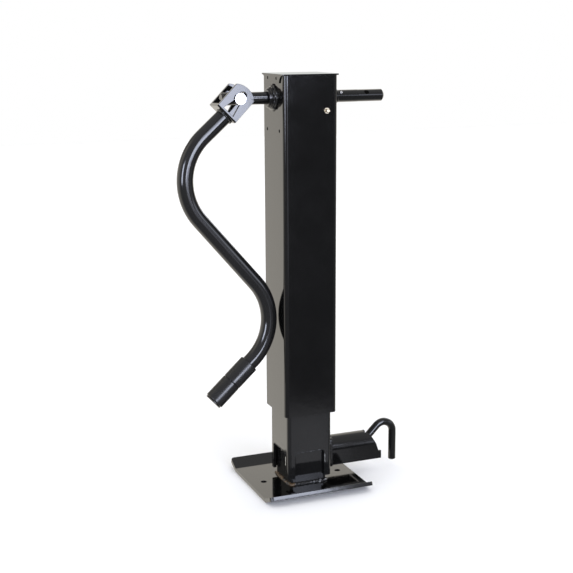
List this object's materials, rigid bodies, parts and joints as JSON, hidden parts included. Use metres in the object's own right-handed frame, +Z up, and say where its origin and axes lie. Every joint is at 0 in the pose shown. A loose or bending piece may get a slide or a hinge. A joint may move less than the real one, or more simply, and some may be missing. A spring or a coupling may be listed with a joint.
{
  "type": "trailer tongue jack",
  "caption": "Square side-wind trailer tongue jack: folding crank, bevel-driven screw ram inside a square tube, and a spring-pinned drop leg on a flat foot plate.",
  "frame": {"origin": "on the foot plate's flat underside, at the ground, straight below the lead screw", "axes": "+Z up along the lead screw, +X along the drive shaft away from the crank, -Y the face with the grease fitting"},
  "size_m": [0.3763, 0.1933, 0.6639],
  "materials": {
    "gloss_black_paint": "gloss",
    "zinc_plate": "bright zinc plate",
    "machined_steel": "machined, oiled",
    "spring_steel": "drawn wire",
    "bronze": "machined",
    "black_plastic": "semi-gloss moulded"
  },
  "bodies": {
    "housing": {"outer_tube": "gloss_black_paint", "top_cap": "gloss_black_paint", "cap_rivets": "gloss_black_paint", "shaft_bushing_left": "gloss_black_paint", "shaft_bushing_right": "gloss_black_paint", "bearing_plate": "machined_steel", "bearing_plate_pins": "machined_steel", "grease_fitting": "zinc_plate", "thrust_race_upper": "machined_steel"},
    "crankshaft": {"cross_shaft": "gloss_black_paint", "shaft_end_pin": "zinc_plate", "drive_pinion": "machined_steel", "pinion_pin": "machined_steel", "shaft_collar": "machined_steel", "collar_pin": "machined_steel", "yoke_pin": "zinc_plate", "yoke_pin_washer": "zinc_plate", "yoke_pin_clip": "zinc_plate"},
    "screw": {"lead_screw": "machined_steel", "screw_gear": "machined_steel", "gear_pin": "machined_steel", "thrust_race_lower": "machined_steel", "screw_stop_washer": "machined_steel", "stop_washer_pin": "machined_steel"},
    "bearing_balls": {"thrust_balls": "machined_steel", "thrust_ball_cage": "machined_steel"},
    "ram": {"ram_tube": "gloss_black_paint", "ram_head_plate": "machined_steel", "lead_nut": "bronze", "hood_mount_plate": "gloss_black_paint", "pin_hood": "gloss_black_paint", "pin_guide_bushing": "bronze", "spring_stop_plate": "machined_steel", "pin_spring": "spring_steel"},
    "lock_pin": {"pull_pin": "gloss_black_paint", "pin_washer": "zinc_plate", "washer_pin": "zinc_plate"},
    "drop_leg": {"drop_leg_tube": "gloss_black_paint", "foot_plate": "gloss_black_paint"},
    "crank_arm": {"crank_yoke": "gloss_black_paint", "crank_tube": "gloss_black_paint", "grip_end_cap": "black_plastic"},
    "grip": {"crank_grip": "black_plastic"}
  },
  "joints": [
    {"name": "crank_turn", "type": "hinge", "parent": "housing", "child": "crankshaft", "pos_m": [0, 0, 0.6275], "axis": [1, 0, 0], "range_deg": [0, 45000]},
    {"name": "screw_turn", "type": "hinge", "parent": "housing", "child": "screw", "pos_m": [0, 0, 0.5], "axis": [0, 0, 1], "range_deg": [0, 22500]},
    {"name": "ball_orbit", "type": "hinge", "parent": "housing", "child": "bearing_balls", "pos_m": [0, 0, 0.5678], "axis": [0, 0, 1], "range_deg": [0, 11250]},
    {"name": "ram_travel", "type": "slide", "parent": "housing", "child": "ram", "axis": [0, 0, -1], "range_m": [0, 0.3175]},
    {"name": "leg_drop", "type": "slide", "parent": "ram", "child": "drop_leg", "axis": [0, 0, -1], "range_m": [0, 0.3429]},
    {"name": "lock_pin_pull", "type": "slide", "parent": "ram", "child": "lock_pin", "axis": [1, 0, 0], "range_m": [-0.0058, 0.01], "deforming": ["pin_spring"]},
    {"name": "crank_fold", "type": "hinge", "parent": "crankshaft", "child": "crank_arm", "pos_m": [-0.105, 0, 0.6275], "axis": [0, 0.9994, -0.0349], "range_deg": [0, 165]},
    {"name": "grip_turn", "type": "hinge", "parent": "crank_arm", "child": "grip", "pos_m": [-0.15455, -0.0163, 0.16082], "axis": [-0.7431, -0.0234, -0.6687], "continuous": true}
  ],
  "couplings": [
    {"joint": "screw_turn", "follows": "crank_turn", "ratio": 0.5},
    {"joint": "ball_orbit", "follows": "crank_turn", "ratio": 0.25},
    {"joint": "ram_travel", "follows": "crank_turn", "m_per_rad": 0.00040425}
  ]
}
